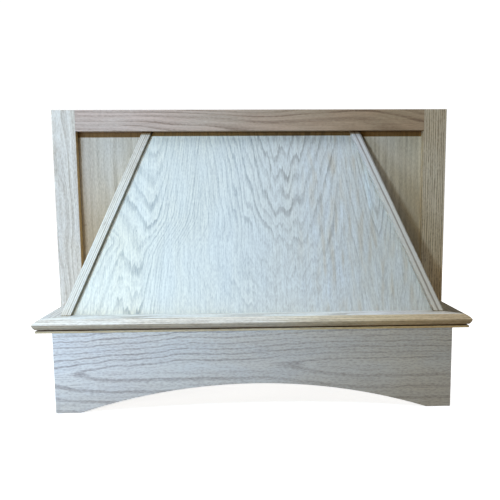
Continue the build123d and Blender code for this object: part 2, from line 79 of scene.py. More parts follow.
class Tree:
    """One material: a Principled shader and the fields that feed it."""

    def __init__(self, name):
        self.mat = bpy.data.materials.new(name)
        self.mat.use_nodes = True
        self.nt = self.mat.node_tree
        self.nt.nodes.clear()
        out = self.nt.nodes.new("ShaderNodeOutputMaterial")
        self.bsdf = self.nt.nodes.new("ShaderNodeBsdfPrincipled")
        self.nt.links.new(self.bsdf.outputs[0], out.inputs[0])
        co = self.nt.nodes.new("ShaderNodeTexCoord")
        self.place = Field(self, co.outputs["Object"])
        self.facing = Field(self, co.outputs["Normal"])
        self.x = self.dot(self.place, (1000.0, 0.0, 0.0))
        self.y = self.dot(self.place, (0.0, 1000.0, 0.0))
        self.z = self.dot(self.place, (0.0, 0.0, 1000.0))

    def _put(self, socket, value):
        if isinstance(value, Field):
            self.nt.links.new(value.socket, socket)
        else:
            socket.default_value = value

    def math(self, op, a, b=0.0, c=0.0, clamp=False):
        n = self.nt.nodes.new("ShaderNodeMath")
        n.operation = op
        n.use_clamp = clamp
        self._put(n.inputs[0], a)
        self._put(n.inputs[1], b)
        self._put(n.inputs[2], c)
        return Field(self, n.outputs[0])

    def sqrt(self, a): return self.math("SQRT", a)
    def abs(self, a): return self.math("ABSOLUTE", a)
    def fract(self, a): return self.math("FRACT", a)
    def floor(self, a): return self.math("FLOOR", a)
    def min(self, a, b): return self.math("MINIMUM", a, b)
    def max(self, a, b): return self.math("MAXIMUM", a, b)
    def soft_min(self, a, b, d): return self.math("SMOOTH_MIN", a, b, d)
    def clip(self, a): return self.math("ADD", a, 0.0, clamp=True)
    def sin(self, a): return self.math("SINE", a)
    def bell(self, a): return self.math("EXPONENT", a * a * -1.0)

    def dot(self, a, b):
        n = self.nt.nodes.new("ShaderNodeVectorMath")
        n.operation = "DOT_PRODUCT"
        self._put(n.inputs[0], a)
        self._put(n.inputs[1], b)
        return Field(self, n.outputs["Value"])

    def distance(self, point):
        """Millimetres from a point of the frame."""
        n = self.nt.nodes.new("ShaderNodeVectorMath")
        n.operation = "DISTANCE"
        self._put(n.inputs[0], self.place)
        n.inputs[1].default_value = point
        return Field(self, n.outputs["Value"]) * 1000.0

    def vec(self, x, y, z):
        n = self.nt.nodes.new("ShaderNodeCombineXYZ")
        for i, v in enumerate((x, y, z)):
            self._put(n.inputs[i], v)
        return Field(self, n.outputs[0])

    def noise(self, x, y, z, detail=1.0, rough=0.5):
        """Smooth noise from -1 to 1, mostly within 0.5."""
        n = self.nt.nodes.new("ShaderNodeTexNoise")
        n.inputs["Scale"].default_value = 1.0
        n.inputs["Detail"].default_value = detail
        n.inputs["Roughness"].default_value = rough
        self._put(n.inputs["Vector"], self.vec(x, y, z))
        return (Field(self, n.outputs[0]) - 0.5) * 2.0

    def noise1(self, x, detail=0.0):
        n = self.nt.nodes.new("ShaderNodeTexNoise")
        n.noise_dimensions = "1D"
        n.inputs["Scale"].default_value = 1.0
        n.inputs["Detail"].default_value = detail
        self._put(n.inputs["W"], x)
        return (Field(self, n.outputs[0]) - 0.5) * 2.0

    def random(self, x):
        n = self.nt.nodes.new("ShaderNodeTexWhiteNoise")
        n.noise_dimensions = "1D"
        self._put(n.inputs["W"], x)
        return Field(self, n.outputs[0])

    def ramp(self, x, a, b, lo=0.0, hi=1.0):
        """Smooth step from lo at a to hi at b."""
        n = self.nt.nodes.new("ShaderNodeMapRange")
        n.interpolation_type = "SMOOTHSTEP"
        n.clamp = True
        self._put(n.inputs["Value"], x)
        for key, v in (("From Min", a), ("From Max", b), ("To Min", lo), ("To Max", hi)):
            self._put(n.inputs[key], v)
        return Field(self, n.outputs[0])

    def mix(self, k, a, b, blend="MIX", clamp=True):
        n = self.nt.nodes.new("ShaderNodeMix")
        n.data_type = "RGBA"
        n.blend_type = blend
        n.clamp_factor = True
        n.clamp_result = clamp
        self._put(n.inputs["Factor"], k)
        for key, v in ((6, a), (7, b)):
            self._put(n.inputs[key], v if isinstance(v, Field) else (*v, 1.0))
        return Field(self, n.outputs[2])

    def tint(self, k, colour, by):
        """Colour times by, where k is 1."""
        return self.mix(k, colour, by, "MULTIPLY")

    def fade(self, x, a, b, lo, hi, colour):
        """Colour times lo at a, times hi at b."""
        return self.tint(1.0, colour, self.mix(self.ramp(x, a, b), lo, hi, clamp=False))

    def finish(self, colour, rough, height, depth, specular=0.35):
        """Colour, roughness and a height field that runs over about 0 to 1, times depth."""
        self._put(self.bsdf.inputs["Base Color"], colour)
        self._put(self.bsdf.inputs["Roughness"], rough)
        self.bsdf.inputs["Specular IOR Level"].default_value = specular
        b = self.nt.nodes.new("ShaderNodeBump")
        b.inputs["Strength"].default_value = 1.0
        b.inputs["Distance"].default_value = depth
        self._put(b.inputs["Height"], height)
        self.nt.links.new(b.outputs[0], self.bsdf.inputs["Normal"])
        return self.mat


def axes_of(t, origin, along, across, into):
    """Millimetres along, across and into a board."""
    o = Vector(origin)
    out = []
    for d in (along, across, into):
        d = Vector(d).normalized()
        out.append(t.dot(t.place, tuple(d * 1000)) - o.dot(d) * 1000)
    return out


def edge_wear(t, box, scale=1.0):
    """1 on a board's arrises, 0 a couple of millimetres in."""
    lo, hi = box
    near = [t.min(p - lo[i] * 1000, hi[i] * 1000 - p) for i, p in enumerate((t.x, t.y, t.z))]
    a, b, c = near
    second = t.max(t.min(a, b), t.min(t.max(a, b), c))      # middle one of the three
    return t.ramp(second, 0.2 * scale, 2.6 * scale, 1.0, 0.0)


MEAN = 0.36                                                  # mean darkening of the figure


# ---------------------------------------------------------------- oak
def wood(name, origin, along, across, into, tone, figure, dark=(0.52, 0.47, 0.42), seed=0.0,
         wander=(4.0, 1.2), ring_k=0.45, sub=(3.0, 0.0), streak_k=0.5, fleck_k=0.5, band_k=0.4,
         pore_k=0.4, sharp=(0.10, 0.62), solid=True, ply=None, box=None, edge=0.10, dots=(),
         sides=None, stain_and_shade=None, hue=(1.03, 1.0, 0.95), light_and_shade_fades=(), fibre_v=1.9, fleck_v=2.2,
         vary=(0.7, 0.4), dark2=None, uneven=0.45, patch_k=0.9):
    """Oak, solid or as veneered plywood.
    along, across and into are the board's directions. tone is its mean colour, dark the
    colour of the darkest figure relative to the lightest. figure gives the growth rings as
    a count at each place, and how strongly they show. ply is the thickness and number of
    plies of plywood, whose origin lies on its face."""
    t = Tree(name)
    u, v, w = axes_of(t, origin, along, across, into)
    s = seed * 17.3
    slow = t.noise(u / 210.0 + s, v / 60.0, (w / 60.0 + s) if solid else s)
    quick = t.noise(u / 46.0 + s, v / 13.0 + s, (w / 13.0) if solid else 0.0, detail=2.0)
    rings, show = figure(t, u, v, w, slow, quick)
    rings = rings + t.noise1(rings / 3.1 + s) * uneven
    phase = t.fract(rings)
    # the porous early wood: a quick start and a slow fade over each ring
    early = t.ramp(phase, 0.0, sharp[0]) * t.ramp(phase, sharp[0] + 0.06, sharp[1], 1.0, 0.0)
    patch = t.noise(u / 90.0 + s, v / 30.0, (w / 30.0 + s) if solid else s, detail=1.0)
    strength = (t.random(t.floor(rings) + 3.7) * vary[0] + vary[1]) * (patch * patch_k + 0.9)
    early = early * strength * show
    # fibres, flecks and open pores, all long and thin along the board
    coarse = t.noise(u / 150.0, v / 5.5 + s, (w / 5.5) if solid else 0.0, detail=1.0)
    fibre = t.noise(u / 38.0 + s, v / fibre_v, (w / fibre_v) if solid else 0.0, detail=2.0, rough=0.65)
    fleck = t.noise(u / 6.5, v / fleck_v + s, (w / fleck_v) if solid else 0.0, detail=1.0)
    pores = t.noise(u / 9.0, v / 0.42 + s, (w / 0.42) if solid else 0.0, detail=1.0)
    pores = t.ramp(pores, 0.16, 0.42) * (early * 0.9 + 0.25)
    k = (
        MEAN
        + ring_k * (early - 0.25)
        + streak_k * 0.5 * fibre
        + fleck_k * 0.5 * fleck
        + band_k * 0.6 * coarse
        + pore_k * (pores - 0.06)
    )
    if sub[1]:
        fine = t.fract(rings * sub[0] + quick * 0.5)
        k = k + (t.ramp(fine, 0.0, 0.3) * t.ramp(fine, 0.4, 1.0, 1.0, 0.0) - 0.45) * sub[1]
    if box:
        scuff = t.noise(u / 16.0 + s, v / 16.0, (w / 16.0) if solid else 0.0, detail=2.0)
        k = k + edge_wear(t, box) * (edge * (scuff * 1.2 + 0.75))
    if solid:
        end = t.ramp(t.abs(t.dot(t.facing, tuple(Vector(along).normalized()))), 0.55, 0.9)
        k = k + end * (fleck * 0.4 + 0.42)
    for point, r in dots:                                    # pin knots
        k = k + t.ramp(t.distance(point), r * 0.5, r * 1.6, 1.8, 0.0)
    light = tuple(min(0.98, c / (1 - MEAN * (1 - d))) for c, d in zip(tone, dark))
    pale = t.mix(t.ramp(patch, -0.5, 0.5), light, tuple(min(0.98, c * h) for c, h in zip(light, hue)))
    deep = tuple(c * d for c, d in zip(light, dark))
    if dark2:                                                # another dark towards one edge
        shade, a, b = dark2
        deep = t.mix(t.ramp(v, a, b), deep, tuple(c * d for c, d in zip(light, shade)))
    colour = t.mix(k, pale, deep)
    rough = 0.60 + 0.10 * fibre + 0.16 * pores + 0.05 * early
    height = 1.0 - pores * 0.9 - early * 0.35 + fibre * 0.30 + fleck * 0.12
    if ply:
        thick, count = ply
        core = t.ramp(t.min(w, thick - w), 0.5, 0.62)
        layer = w * (count / thick)
        odd = t.fract(t.floor(layer) * 0.5) * 2.0            # these plies show their ends
        cut = t.noise(t.x / 1.3, t.y / 1.3, t.z / 1.3 + s, detail=2.0)
        glue = t.fract(layer)
        glue = t.max(t.ramp(glue, 0.0, 0.10, 1.0, 0.0), t.ramp(glue, 0.90, 1.0))
        k_core = 0.24 + odd * 0.32 + cut * (odd * 0.5 + 0.15) + glue * 0.35
        colour = t.mix(core, colour, t.mix(k_core, (0.58, 0.46, 0.31), (0.26, 0.17, 0.095)))
        rough = rough + core * 0.12
        height = height + core * cut * 0.6
    if sides:                                                # edge faces tinted: partly their own browner tone, partly painted shade
        side = t.ramp(t.abs(t.dot(t.facing, tuple(Vector(across).normalized()))), 0.75, 0.95)
        colour = t.tint(side, colour, sides)
    for axis, a, b, lo, hi in light_and_shade_fades:                         # painted light and shade: the board is made lighter or darker along it, following how the light falls across it
        colour = t.fade((t.x, t.y, t.z)[axis], a, b, lo, hi, colour)
    # stains and tints, among them painted shade and light: the rail's shadow, shaded faces and ends, lit faces
    if stain_and_shade:
        for mask, by in stain_and_shade(t):
            colour = t.tint(mask, colour, by)
    return t.finish(colour, t.clip(rough), height, 0.00022)


def heart(pith, tilt=(0.0, 0.02), ring=4.0, wander=(4.0, 1.2), bow=None):
    """Rings round a pith line that lies pith millimetres across and into from the origin."""
    def figure(t, u, v, w, slow, quick):
        if bow:
            amount, centre, half = bow
            v = v - t.bell((u - centre) / half) * amount
        vv = v - pith[0] - tilt[0] * u + slow * wander[0] + quick * wander[1]
        ww = w - pith[1] + tilt[1] * u + slow * (wander[0] * 0.8)
        return t.sqrt(vv * vv + ww * ww) / ring, 1.0
    return figure


def straight(ring, lean=0.0, wander=(9.0, 1.4)):
    """Quarter-cut figure: lines along the board."""
    def figure(t, u, v, w, slow, quick):
        return (v - lean * u + slow * wander[0] + quick * wander[1]) / ring + 40.0, 1.0
    return figure


# ---------------------------------------------------------------- other stuff
def softwood(name, origin, along, across, into, seed=0.0, box=None):
    """Planed pine: wide soft rings with thin hard lines."""
    t = Tree(name)
    u, v, w = axes_of(t, origin, along, across, into)
    s = seed * 23.9
    slow = t.noise(u / 160.0 + s, v / 50.0, w / 50.0)
    quick = t.noise(u / 30.0, v / 10.0 + s, w / 10.0, detail=2.0)
    vv = v + slow * 9.0 + quick * 1.0 + 6.0
    ww = w + 46.0 + slow * 7.0 + 0.02 * u
    rings = t.sqrt(vv * vv + ww * ww) / 5.2
    rings = rings + t.noise1(rings / 2.3 + s) * 0.5
    phase = t.fract(rings)
    late = t.ramp(phase, 0.30, 0.92) * t.ramp(phase, 0.93, 1.0, 1.0, 0.0)
    fibre = t.noise(u / 36.0, v / 1.2 + s, w / 1.2, detail=2.0, rough=0.6)
    plane = t.sin(u * 1.7 + quick * 0.8)
    k = 0.16 + late * 0.55 + fibre * 0.16 + plane * 0.012
    end = t.ramp(t.abs(t.dot(t.facing, tuple(Vector(along).normalized()))), 0.55, 0.9)
    k = k + end * 0.22
    if box:
        k = k + edge_wear(t, box, 0.8) * (0.14 + 0.14 * t.noise(u / 14.0, v / 14.0, w / 14.0))
    colour = t.mix(k, (0.70, 0.53, 0.31), (0.42, 0.24, 0.095))
    rough = t.clip(0.56 + 0.12 * fibre - 0.10 * late)
    return t.finish(colour, rough, 0.6 * late + 0.3 * fibre + 0.10 * plane, 0.00018, 0.4)


def beech(name, along, seed=0.0):
    """Pressed or fluted beech with short brown flecks."""
    t = Tree(name)
    u, v, w = axes_of(t, (0, 0, 0), along, (0, 1, 0), (0, 0, 1))
    fibre = t.noise(u / 14.0 + seed, v / 0.7, w / 0.7, detail=2.0)
    fleck = t.ramp(t.noise(u / 2.6, v / 0.5 + seed, w / 0.5, detail=1.0), 0.22, 0.4)
    tone = t.noise(u / 30.0, v / 9.0, w / 9.0 + seed)
    k = 0.30 + fibre * 0.35 + fleck * 0.4 + tone * 0.2
    colour = t.mix(k, (0.62, 0.42, 0.24), (0.34, 0.18, 0.085))
    return t.finish(colour, t.clip(0.58 + fibre * 0.12), fibre * 0.5 - fleck * 0.4, 0.0001, 0.4)


def zinc(name):
    """Yellow-passivated zinc plate: blotchy sheen and fine turning marks."""
    t = Tree(name)
    blotch = t.noise(t.x / 3.0, t.y / 3.0, t.z / 3.0, detail=3.0)
    fine = t.noise(t.x / 0.35, t.y / 0.35, t.z / 0.35, detail=2.0)
    colour = t.mix(t.ramp(blotch, -0.45, 0.45), (0.62, 0.58, 0.46), (0.50, 0.42, 0.26))
    colour = t.mix(t.ramp(fine, 0.25, 0.6) * 0.35, colour, (0.25, 0.20, 0.14))
    rough = t.clip(0.34 + blotch * 0.14 + fine * 0.08)
    m = t.finish(colour, rough, fine, 0.00004, 0.5)
    t.bsdf.inputs["Metallic"].default_value = 1.0
    return m


# ---------------------------------------------------------------- the boards
# reference levels of the cover, in metres
Y_FRAME, Y_IN, Y_VAL, Y_NOSE = -0.0627, -0.04365, -0.2151, -0.2421
CAP1, RAIL_Z, TOP = 0.1728, 0.5061, 0.5461
LEAN = math.radians(24.0)
SL_UP = (0.0, math.sin(LEAN), math.cos(LEAN))          # up the front panel
SL_OUT = (0.0, -math.cos(LEAN), math.sin(LEAN))        # out of it
SL_IN = (0.0, math.cos(LEAN), -math.sin(LEAN))
FOOT = (0.0, Y_IN - (RAIL_Z - CAP1) * math.tan(LEAN), CAP1)   # middle of the panel's foot
X, Y, Z = (1, 0, 0), (0, 1, 0), (0, 0, 1)
nX, nY, nZ = (-1, 0, 0), (0, -1, 0), (0, 0, -1)

# mean board colours (linear): partly each board's own tone, partly painted light and shade, where a board looks
# lighter, darker or bluer for the light on it
TONE = {
    "left_stile": (0.665, 0.628, 0.567),
    "right_stile": (0.560, 0.500, 0.380),
    "top_rail": (0.469, 0.391, 0.322),
    "left_infill": (0.536, 0.505, 0.422),
    "right_infill": (0.600, 0.570, 0.460),
    "valance": (0.695, 0.696, 0.670),
    "panel": (0.655, 0.724, 0.731),
    "left_batten": (0.625, 0.620, 0.565),
    "right_batten": (0.580, 0.590, 0.555),
    "cap": (0.680, 0.660, 0.600),
}
SAWN_AND_SHADED = (0.86, 0.76, 0.60)                                # edge faces are browner: partly the edges' own tone, partly painted shade


def give(node, mat):
    ob = nodes[node]
    ob.data.materials.clear()
    ob.data.materials.append(mat)


def box(node):
    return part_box(node)


# front panel: a rotary-cut face, with cathedrals that hang down in zigzags
def panel_figure(t, u, v, w, slow, quick):
    jag = t.noise(u / 150.0, v / 6.5, 2.1, detail=0.0)
    fine = t.noise(u / 55.0, v / 2.4, 4.0, detail=0.0)
    broad = t.noise(u / 110.0, v / 45.0, 9.0)
    low = t.ramp(u, 60.0, 200.0, 1.0, 0.0)                # the points are most jagged low down
    up = u + jag * (8.0 + 10.0 * low) + fine * 6.0 + broad * 12.0
    side = v + slow * 4.0 + quick * 1.4

    # left: open points with steep flanks, and a crest to their left
    dx = side + 216.0 - 25.0 * t.ramp(u, 105.0, 195.0)
    right, left = t.max(dx, 0.0), t.max(dx * -1.0, 0.0)
    steep = t.max(right - 10.0, 0.0)
    rise = right * 0.12 + (t.sqrt(steep * steep + 484.0) - 22.0) * 0.88
    crest = t.ramp(u, 130.0, 190.0, 28.0, 75.0)
    rise = rise + t.soft_min(left * 0.125, crest * 0.455 - left * 0.33, 1.0)
    a = (rise - up * 0.10) / 4.5 + 0.96
    show_a = t.bell(dx / 45.0) * t.ramp(u, 215.0, 260.0, t.ramp(u, 150.0, 195.0, 0.62, 0.32), 0.05)
    show_a = show_a + t.ramp(dx, 40.0, 75.0, 0.55, t.ramp(u, 90.0, 180.0, 0.25, 0.80))
    # middle: broad, with three points side by side
    zig = t.sin((v - 40.0 + slow * 8.0) * (math.tau / 27.5) + math.pi / 2)
    zig = zig * t.ramp(t.abs(v - 32.0), 50.0, 95.0, 10.0, 0.0) * (1.0 - 0.85 * t.bell((v - 17.0) / 10.0))
    dx = side - t.ramp(u, 120.0, 220.0, 68.0, 52.0)
    dx = t.max(dx, 0.0) + t.min(dx, 0.0) * t.ramp(u, 100.0, 200.0, 1.0, 1.5)
    rounding = t.ramp(u, 60.0, 300.0, 100.0, 48.0)
    bend = t.sqrt((u - 200.0) * (u - 200.0) + 1600.0)
    m = t.sqrt(dx * dx + rounding * rounding) - rounding - ((up + zig) * 1.28 - bend * 0.28) * 0.30
    m = m / 13.5 + 4.42
    # right: one narrow point beside the batten
    dx = side - 237.0
    e = (t.sqrt(dx * dx + 81.0) - 9.0 - (up - 166.0) * 0.16) / 7.5 - 3.0
    show_e = t.bell(dx / 25.0) * t.ramp(u, 120.0, 165.0, 0.0, 0.5) + t.ramp(u, 90.0, 170.0, 0.35, 0.65)
    gap = t.min(t.abs(a - m), t.abs(m - e))
    show_m = t.ramp(u, 110.0, 190.0, 0.42, 1.1) * t.ramp(v, -80.0, -10.0, 0.5, 1.0)
    show = t.ramp(m - t.min(a, e), -1.0, 1.0, show_m, t.ramp(v, 0.0, 60.0, show_a, show_e))
    return t.soft_min(t.soft_min(a, m, 1.0), e, 1.0) + 60.0, show * t.ramp(gap, 0.0, 3.0, 0.45, 1.0)


def under_rail(z):
    """Darkens the strip just below the rail, to the depth that the rail's shadow has in the photo."""
    def stain_and_shade(t):
        return [(t.ramp(t.z, z - 0.6, z + 0.6), (0.36, 0.23, 0.095)), (t.ramp(t.z, 502.5, 505.0), (0.7, 0.6, 0.5))]
    return stain_and_shade


def panel_stain_and_shade(t):
    """The painted shadow strip below the rail, a pale streak at the right-hand point, and brown and bluish patches."""
    arm = t.abs(t.x - 230.0 + (t.z - 330.0) * 0.14)
    pale = t.ramp(arm, 2.0, 7.0, 0.9, 0.0) * t.ramp(t.z, 318.0, 345.0) * t.ramp(t.z, 390.0, 450.0, 1.0, 0.0)
    patch = t.noise(t.x / 10.0, 3.3, t.z / 55.0, detail=1.0)
    right = t.ramp(t.x, 50.0, 150.0)
    cream = t.ramp(t.x, -240.0, -150.0, 1.0, 0.0) * t.ramp(t.z, 300.0, 370.0, 1.0, 0.0)
    return under_rail(497.6)(t) + [(pale, (1.07, 1.14, 1.20)), (t.ramp(patch, 0.02, 0.45) * right, (0.95, 0.89, 0.82)),
                                   (t.ramp(patch, -0.45, 0.0, 1.0, 0.0) * right, (1.06, 1.08, 1.12)),
                                   (cream, (1.05, 1.02, 0.965))]


give(
    "front_panel",
    wood("oak_front_panel", FOOT, SL_UP, X, SL_IN, TONE["panel"], panel_figure, seed=1.0,
         dark=(0.53, 0.57, 0.61), dark2=((0.55, 0.53, 0.52), -60.0, 70.0), ring_k=0.52, streak_k=1.10,
         fleck_k=0.80, band_k=0.55, pore_k=0.35, sharp=(0.12, 0.60), sub=(2.3, 0.12), solid=False, ply=(6.35, 3),
         uneven=0.25,
         hue=(1.02, 1.0, 0.965), dots=[((-0.2163, -0.1275, 0.318), 0.9)], stain_and_shade=panel_stain_and_shade,
         light_and_shade_fades=[(0, -240, 280, (1.0, 1.0, 0.96), (0.80, 0.79, 0.78)),
                (0, -140, 0, (1.0, 1.0, 1.02), (1.045, 1.06, 1.11)), (0, 130, 260, (1.0, 1.0, 1.0), (0.965, 0.95, 0.90))]),
)

# infill panels: plain straight-grained face
for side, x, seed, ring in (("left", -0.29, 2.0, 15.0), ("right", 0.29, 5.0, 12.0)):
    give(
        side + "_infill_panel",
        wood("oak_%s_infill" % side, (x, Y_IN, 0.34), Z, X, Y, TONE[side + "_infill"],
             straight(ring, 0.02 if side == "left" else 0.0), seed=seed, dark=(0.54, 0.51, 0.46),
             ring_k=0.34, streak_k=0.62, fleck_k=0.85, band_k=0.66, pore_k=0.3, sharp=(0.3, 0.9),
             solid=False, ply=(6.35, 3), stain_and_shade=under_rail(495.9),
             light_and_shade_fades=[(2, 270, 500, (0.81, 0.71, 0.58), (1.08, 1.11, 1.19)),
                    (0, -340, -285, (0.86, 0.84, 0.85), (1.02, 1.03, 1.05)),
                    (0, -280, -240, (1.0, 1.0, 1.0), (0.93, 0.91, 0.87))] if side == "left" else
                   [(2, 280, 480, (0.88, 0.83, 0.76), (1.0, 1.0, 1.0)),
                    (0, 220, 330, (1.11, 1.13, 1.24), (0.91, 0.90, 0.89))],
             dots=[((-0.3300, Y_IN, 0.3262), 1.4)] if side == "left" else ()),
    )

# face frame
# the left stile's inner face is tinted golden brown: a painted shade
give("left_stile", wood("oak_left_stile", (-0.359, Y_FRAME, 0.30), Z, X, Y, TONE["left_stile"],
     heart((-26.0, -70.0), (0.055, 0.03), 5.2, (6.0, 1.2)), seed=1.3, ring_k=0.42, sub=(2.6, 0.16),
     streak_k=0.95, fleck_k=0.95, band_k=0.40, box=box("left_stile"), sides=SAWN_AND_SHADED,
     stain_and_shade=lambda t: [(t.ramp(t.dot(t.facing, X), 0.75, 0.95), (1.12, 0.93, 0.60))],
     light_and_shade_fades=[(2, 180, 520, (0.90, 0.90, 0.90), (1.01, 1.03, 1.045))]))
# the right stile's darker, browner tone is partly painted shade; its outer face is lifted lighter and bluer again
give("right_stile", wood("oak_right_stile", (0.359, Y_FRAME, 0.30), Z, X, Y, TONE["right_stile"],
     heart((150.0, -60.0), (0.0, 0.0), 4.0, (3.0, 0.8)), seed=2.6, ring_k=1.25, streak_k=2.5,
     fleck_k=1.6, band_k=0.4, pore_k=0.9, fibre_v=2.3, vary=(0.4, 0.7),
     light_and_shade_fades=[(2, 170, 290, (1.27, 1.10, 0.89), (1.0, 1.0, 1.0)), (2, 380, 540, (1.0, 1.0, 1.0), (0.88, 0.83, 0.78))], box=box("right_stile"), edge=0.03, sides=(1.0, 0.95, 0.86),
     stain_and_shade=lambda t: [(t.ramp(t.dot(t.facing, X), 0.75, 0.95), (1.06, 1.09, 1.38))]))
give("top_rail", wood("oak_top_rail", (0.0, Y_FRAME, 0.526), X, Z, Y, TONE["top_rail"],
     heart((-34.0, -46.0), (0.0, 0.035), 6.0, (4.0, 0.8), bow=(20.0, 225.0, 150.0)), seed=3.1,
     dark=(0.52, 0.46, 0.43), ring_k=0.48, sub=(2.4, 0.14), streak_k=0.65, fleck_k=0.62, band_k=0.5,
     box=box("top_rail"), sides=SAWN_AND_SHADED, hue=(1.05, 0.98, 0.97),
     light_and_shade_fades=[(0, -320, 320, (1.14, 1.16, 1.25), (0.80, 0.71, 0.55)),
            (0, -300, -20, (1.0, 1.0, 1.0), (0.955, 0.96, 0.95)), (0, 20, 150, (1.0, 1.0, 1.0), (1.045, 1.04, 1.05))]))


# valance: a cathedral that points to the left, close lines above it, wide ones below
def valance_figure(t, u, v, w, slow, quick):
    wave = t.noise(u / 22.0, v / 30.0, 3.0, detail=1.0)
    vv = v + slow * 1.6 + wave * 2.4 + quick * 0.9
    climb = -6.0
    for a, b, by in ((-350, -300, 1.5), (-304, -240, 4.5), (-230, -165, 4.0), (-175, -130, 6.0),
                     (-110, -60, -1.5), (-50, 40, 3.5), (60, 200, -4.0)):
        climb = climb + t.ramp(u, float(a), float(b), 0.0, by)
    q = t.math("SMOOTH_MAX", (vv - climb) / 10.0, (5.0 - vv) / 20.0, 0.15)
    q = t.max(q, 0.0)
    d = t.max((-254.0 - u) * 0.012, 0.0) + 0.3 + w * 0.02
    inner = t.ramp(u, 5.0, 190.0, 0.0, 0.98)              # a second point starts inside the first
    show = t.ramp(u, -150.0, 60.0, 1.0, 0.58) * t.ramp(v, -25.0, 5.0, 0.75, 1.0)
    return t.sqrt(q * q + d * d) - inner + 0.12, show


give("arched_valance", wood("oak_valance", (0.0, Y_VAL, 0.074), X, Z, Y, TONE["valance"], valance_figure,
     seed=4.4, dark=(0.53, 0.48, 0.47), ring_k=0.68, sub=(2.0, 0.12), streak_k=1.10, fleck_k=1.35,
     band_k=0.30, sharp=(0.12, 0.46), vary=(0.35, 0.62), patch_k=0.6, sides=SAWN_AND_SHADED, uneven=0.12,
     light_and_shade_fades=[(2, 0, 90, (0.90, 0.855, 0.805), (1.04, 1.05, 1.07)), (0, -250, -120, (0.97, 0.96, 0.97), (1.01, 1.03, 1.05)),
            (0, 40, 300, (1.0, 1.0, 1.0), (0.98, 0.95, 0.89))]))
for side, sx in (("left", -1), ("right", 1)):
    give(side + "_valance_return", wood("oak_%s_return" % side, (sx * 0.354, -0.14, 0.074), Y, Z, (-sx, 0, 0),
         TONE["valance"], heart((10.0, -60.0), (0.0, 0.03), 6.0), seed=6.0 + sx,
         box=box(side + "_valance_return")))


# cap: the moulded faces are browner than the flat top, more so to the right, and the quirk
# is darkened to the depth of shadow that it has in the photo
# painted light and shade on the cap: moulded faces browner to the right, the flat top lighter and bluer, darker at its
# right end and beside the right batten's foot, undersides and the nose's steep faces darker, its lower faces lighter
# to the right, faces towards +x lighter and bluer, and the quirk dark
def cap_tone_and_shade(t):
    upness = t.dot(t.facing, Z)
    moulded = t.ramp(upness, 0.93, 0.99, 1.0, 0.0)
    flat = t.ramp(upness, 0.985, 0.995)
    nose = t.ramp(upness, 0.05, 0.45, 1.0, 0.0) * t.ramp(t.x, 100.0, 280.0)
    below = t.ramp(upness, -0.35, -0.05, 1.0, 0.0)
    inward = t.min(t.y - Y_NOSE * 1000, 381.0 - t.abs(t.x))
    groove = t.ramp(t.abs(t.z - 154.25), 1.15, 1.5, 1.0, 0.0) * t.ramp(inward, 4.9, 5.6)
    fillet = t.ramp(t.z, 152.8, 153.2, 1.0, 0.0)
    steep = t.ramp(upness, 0.35, 0.72, 1.0, 0.0) * t.ramp(t.x, -300.0, 200.0, 1.0, 0.0)
    return [(moulded * t.ramp(t.x, -60.0, 260.0), (0.825, 0.717, 0.48)), (steep, (0.68, 0.61, 0.53)), (nose, (1.28, 1.25, 1.22)),
            (flat, (1.01, 1.08, 1.15)), (flat * t.ramp(t.x, 200.0, 340.0), (0.93, 0.92, 0.84)),
            (flat * t.ramp(t.x, 270.0, 335.0) * t.ramp(t.y, -232.0, -208.0), (0.74, 0.71, 0.65)),
            (t.ramp(t.dot(t.facing, X), 0.3, 0.6), (1.30, 1.45, 1.95)),
            (below, (0.80, 0.75, 0.68)), (groove, (0.16, 0.11, 0.06)), (fillet, (0.97, 0.90, 0.72))]


CAP_KW = dict(ring_k=0.60, sub=(2.2, 0.12), streak_k=1.6, fleck_k=1.0, band_k=0.8, stain_and_shade=cap_tone_and_shade,
              light_and_shade_fades=[(0, 70, 330, (1.0, 1.0, 1.0), (0.94, 0.87, 0.88))])
give("front_cap", wood("oak_front_cap", (0.0, Y_NOSE, 0.1645), X, Y, Z, TONE["cap"],
     heart((20.0, 120.0), (0.01, 0.02), 3.2, (2.5, 0.7)), seed=7.7, **CAP_KW))
# the right return's browner tone is partly painted shade
for side, sx in (("left", -1), ("right", 1)):
    give(side + "_cap_return", wood("oak_%s_cap_return" % side, (sx * 0.381, -0.15, 0.1645), Y, (sx, 0, 0), Z,
         (0.556, 0.527, 0.482) if sx < 0 else (0.545, 0.505, 0.352), heart((30.0, 110.0), (0.01, 0.02), 3.2, (2.5, 0.7)),
         seed=8.1 + sx, **CAP_KW))

